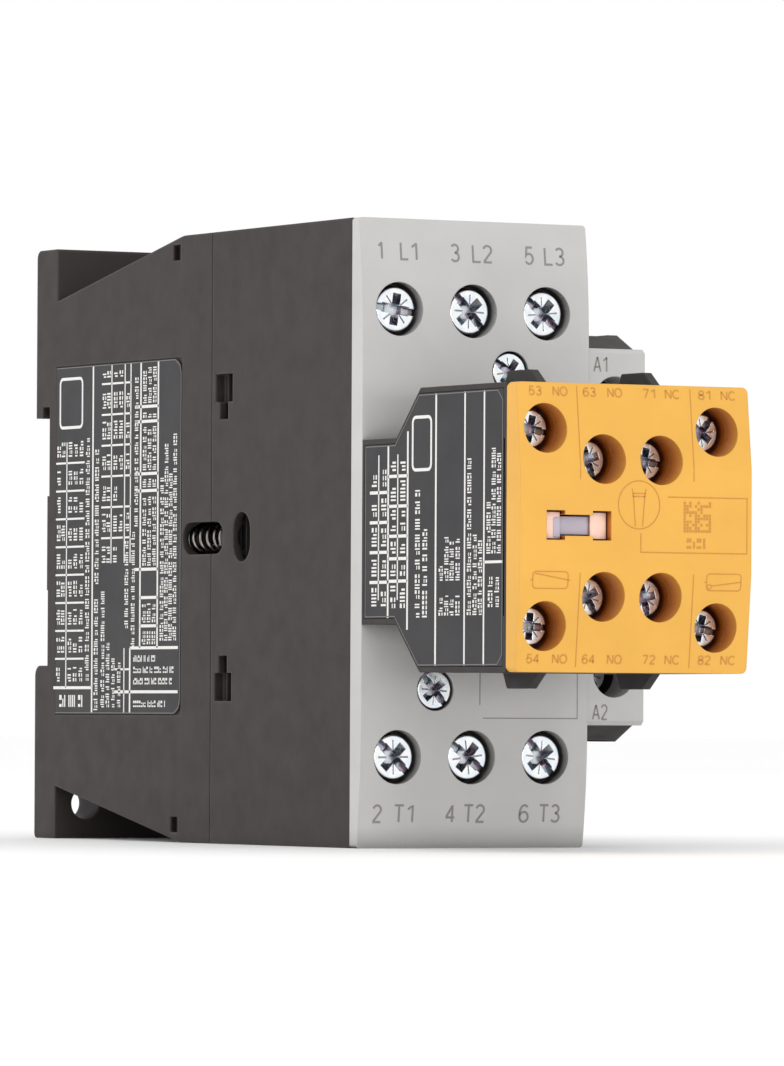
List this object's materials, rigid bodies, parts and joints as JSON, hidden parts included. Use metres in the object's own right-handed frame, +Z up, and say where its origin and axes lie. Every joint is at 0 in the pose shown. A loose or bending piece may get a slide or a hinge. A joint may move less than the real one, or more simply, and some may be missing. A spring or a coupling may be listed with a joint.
{
  "type": "din rail contactor",
  "caption": "Box-shaped power contactor for a mounting rail, with a stepped auxiliary contact block on its front, screw terminals and a sprung rail latch.",
  "frame": {"origin": "middle of the rail seat, on the plane that the rail's front face bears on, at the body's mid width and mid height", "axes": "+Y towards the wall, so the front faces -Y; +Z up when mounted; +X to the right seen from the front"},
  "size_m": [0.045, 0.1397, 0.085],
  "materials": {
    "housing_grey": "moulded, fine matte texture",
    "cover_grey": "moulded, satin",
    "aux_black": "moulded, fine matte texture",
    "cover_yellow": "moulded, satin",
    "label_black": "printed film, white print",
    "zinc_plated": "bright zinc plating",
    "plated_steel": "nickel plated, satin",
    "spring_steel": "drawn wire",
    "core_steel": "stacked sheets, ground pole faces",
    "copper": "plain copper",
    "silver_tip": "silver alloy",
    "bobbin_white": "moulded",
    "carrier_dark": "moulded",
    "rubber_black": "moulded",
    "indicator_cream": "moulded",
    "indicator_lavender": "moulded",
    "latch_grey": "moulded"
  },
  "bodies": {
    "housing": {"base_housing": "housing_grey", "upper_housing": "housing_grey", "front_cover": "cover_grey", "coil_terminal_cover": "cover_grey", "type_label": "label_black", "housing_screws": "zinc_plated", "rail_latch_spring": "spring_steel", "core_buffer": "rubber_black", "fixed_core": "core_steel", "shading_rings": "copper", "coil_bobbin": "bobbin_white", "coil_winding": "copper", "coil_terminals": "plated_steel", "coil_terminal_clamps": "plated_steel", "coil_terminal_screws": "zinc_plated", "line_contacts": "copper", "load_contacts": "copper", "fixed_contact_tips": "silver_tip", "main_terminal_cages": "plated_steel", "main_terminal_screws": "zinc_plated", "arc_chute_plates": "plated_steel", "return_spring_left": "spring_steel", "return_spring_right": "spring_steel", "aux_housing": "aux_black", "aux_side_label": "label_black", "aux_cover": "cover_yellow", "aux_no_contacts": "copper", "aux_nc_contacts": "copper", "aux_fixed_tips": "silver_tip", "aux_terminal_clamps": "plated_steel", "aux_terminal_screws": "zinc_plated"},
    "carrier": {"contact_carrier": "carrier_dark", "armature": "core_steel", "armature_pin": "spring_steel", "armature_pad": "rubber_black", "contact_springs": "spring_steel"},
    "main_bridges": {"moving_bridge_1": "copper", "moving_bridge_2": "copper", "moving_bridge_3": "copper", "moving_contact_tips": "silver_tip"},
    "aux_slider": {"aux_slider": "carrier_dark", "indicator_slide": "indicator_cream", "indicator_insert": "indicator_lavender", "aux_no_springs": "spring_steel", "aux_nc_springs": "spring_steel"},
    "aux_bridges": {"aux_no_bridges": "copper", "aux_nc_bridges": "copper", "aux_moving_tips": "silver_tip"},
    "rail_latch": {"rail_latch": "latch_grey"}
  },
  "joints": [
    {"name": "carrier_travel", "type": "slide", "parent": "housing", "child": "carrier", "axis": [0, 1, 0], "range_m": [0, 0.005], "stiffness_N_per_m": 800, "springref_m": -0.006, "deforming": ["return_spring_left", "return_spring_right"]},
    {"name": "bridge_lag", "type": "slide", "parent": "carrier", "child": "main_bridges", "axis": [0, 1, 0], "range_m": [-0.0018, 0], "deforming": ["contact_springs"]},
    {"name": "aux_travel", "type": "slide", "parent": "housing", "child": "aux_slider", "axis": [0, 1, 0], "range_m": [0, 0.005]},
    {"name": "aux_bridge_lag", "type": "slide", "parent": "aux_slider", "child": "aux_bridges", "axis": [0, 1, 0], "range_m": [-0.0018, 0], "deforming": ["aux_no_springs", "aux_nc_springs"]},
    {"name": "latch_pull", "type": "slide", "parent": "housing", "child": "rail_latch", "axis": [0, 0, -1], "range_m": [0, 0.0042], "stiffness_N_per_m": 500, "springref_m": -0.004, "deforming": ["rail_latch_spring"]}
  ],
  "couplings": [
    {"joint": "bridge_lag", "follows": "carrier_travel", "ratio": -0.36},
    {"joint": "aux_travel", "follows": "carrier_travel", "ratio": 1},
    {"joint": "aux_bridge_lag", "follows": "carrier_travel", "ratio": -0.36}
  ]
}
